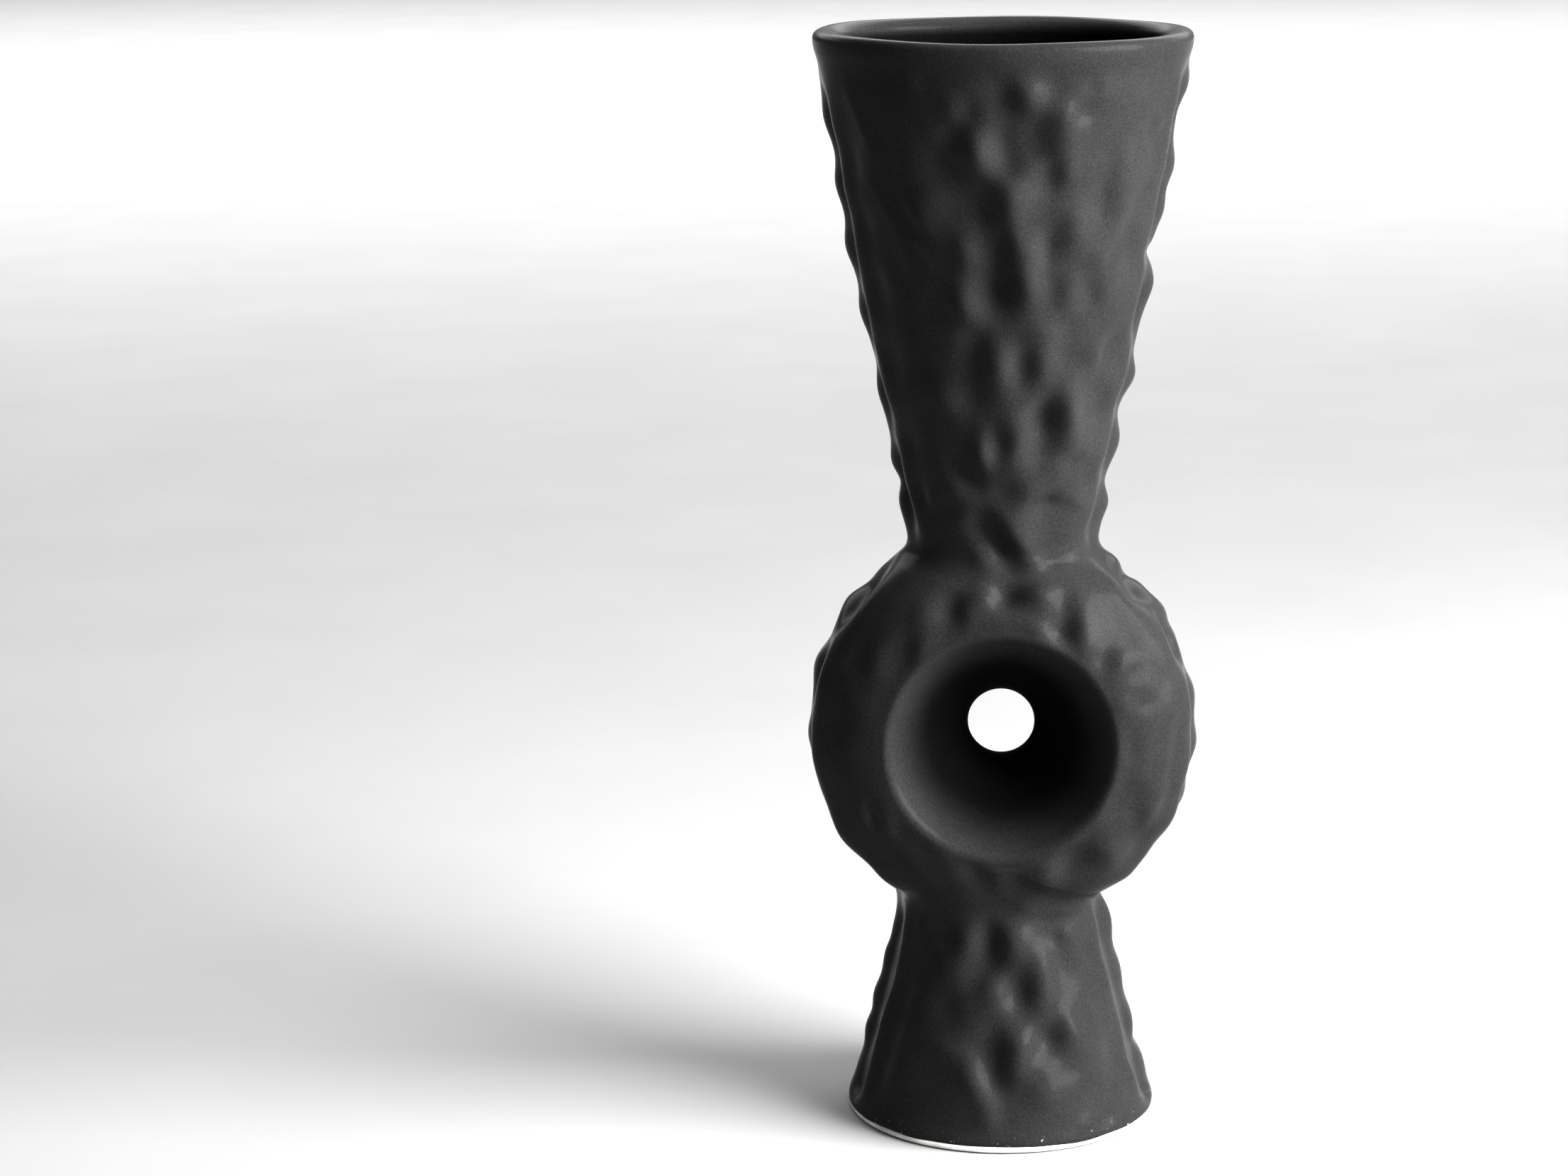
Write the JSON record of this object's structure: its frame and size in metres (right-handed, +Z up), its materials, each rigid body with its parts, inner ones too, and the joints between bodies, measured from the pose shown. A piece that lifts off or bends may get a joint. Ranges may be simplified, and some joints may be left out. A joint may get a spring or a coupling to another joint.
{
  "type": "vase",
  "caption": "Tall matte black clay vase with a flared neck, a round body pierced front to back by a funnel-shaped tunnel, and a flared foot.",
  "frame": {"origin": "middle of the foot ring's standing face", "axes": "+Z up along the neck, the tunnel runs along Y, and the front faces -Y"},
  "size_m": [0.1788, 0.1688, 0.5],
  "materials": {
    "black_glaze": "satin",
    "bare_clay": "matte"
  },
  "bodies": {
    "root": {"rim_coil": "black_glaze", "neck_wall": "black_glaze", "neck_joint_coil": "black_glaze", "body_front_shell": "black_glaze", "body_back_shell": "black_glaze", "seam_coil_right": "black_glaze", "seam_coil_left": "black_glaze", "tunnel_front_cone": "black_glaze", "tunnel_back_cone": "black_glaze", "throat_collar": "black_glaze", "foot_joint_coil": "black_glaze", "foot_wall": "black_glaze", "floor_slab": "bare_clay", "floor_corner_coil": "black_glaze", "foot_ring": "bare_clay"}
  },
  "joints": []
}
